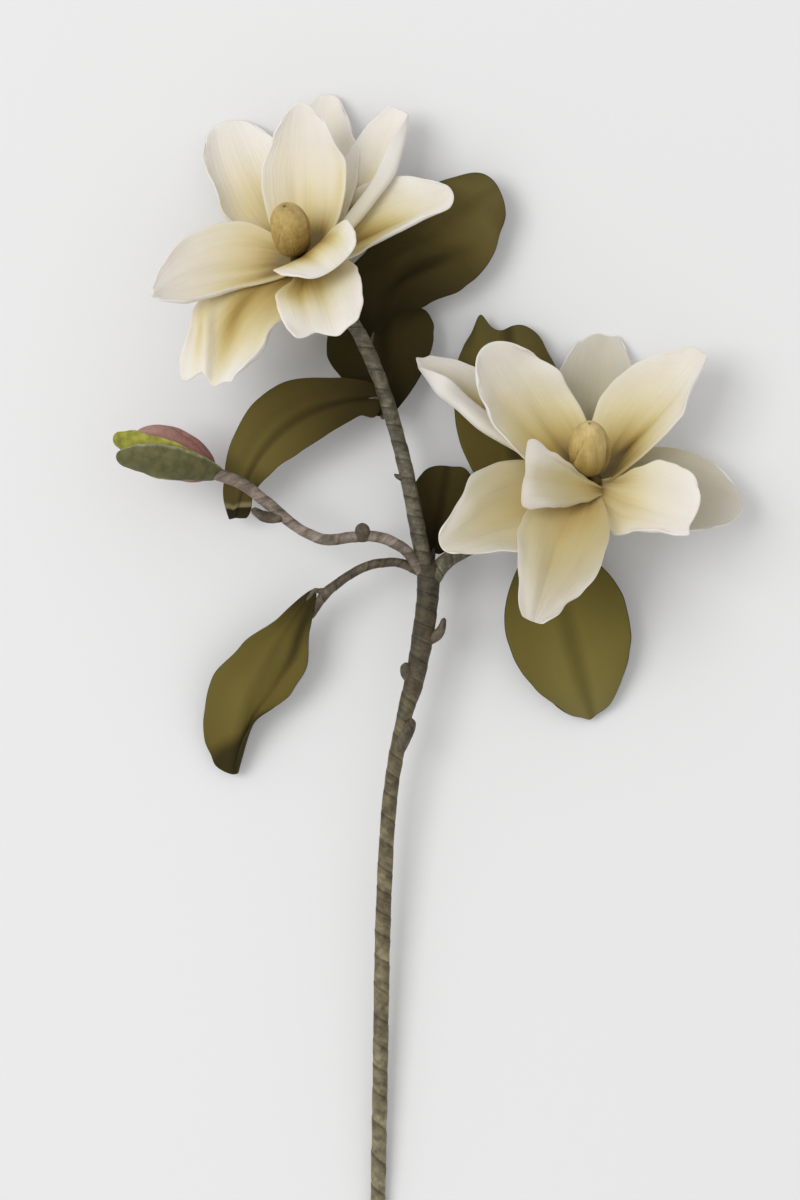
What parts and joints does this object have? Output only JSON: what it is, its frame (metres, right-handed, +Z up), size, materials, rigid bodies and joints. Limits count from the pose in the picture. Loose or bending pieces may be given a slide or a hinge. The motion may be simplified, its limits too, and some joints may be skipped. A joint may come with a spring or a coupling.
{
  "type": "magnolia branch",
  "caption": "Cut magnolia branch laid down: a wrapped forking stem with open cream blooms, an opening bud and broad olive leaves.",
  "frame": {"origin": "on the surface that the branch rests on, under the middle of its outline", "axes": "+Y along the main stem from its cut foot towards the blooms, +Z up off the surface, +X to the side of the lower bloom"},
  "size_m": [0.5085, 0.9175, 0.1466],
  "materials": {
    "bark": "matte",
    "leaf": "matte",
    "petal": "matte",
    "heart": "matte",
    "bud_pink": "matte",
    "bract_lime": "matte",
    "bract_sage": "matte"
  },
  "bodies": {
    "root": {"stem": "bark", "leaf_upper_right": "leaf", "leaf_upper_back": "leaf", "leaf_upper_left": "leaf", "leaf_lower_back": "leaf", "leaf_lower_front": "leaf", "leaf_fork": "leaf", "leaf_twig": "leaf", "petals_upper": "petal", "heart_upper": "heart", "petals_lower": "petal", "heart_lower": "heart", "bud_petals": "bud_pink", "bud_bract_inner": "bract_lime", "bud_bract_outer": "bract_sage"}
  },
  "joints": []
}
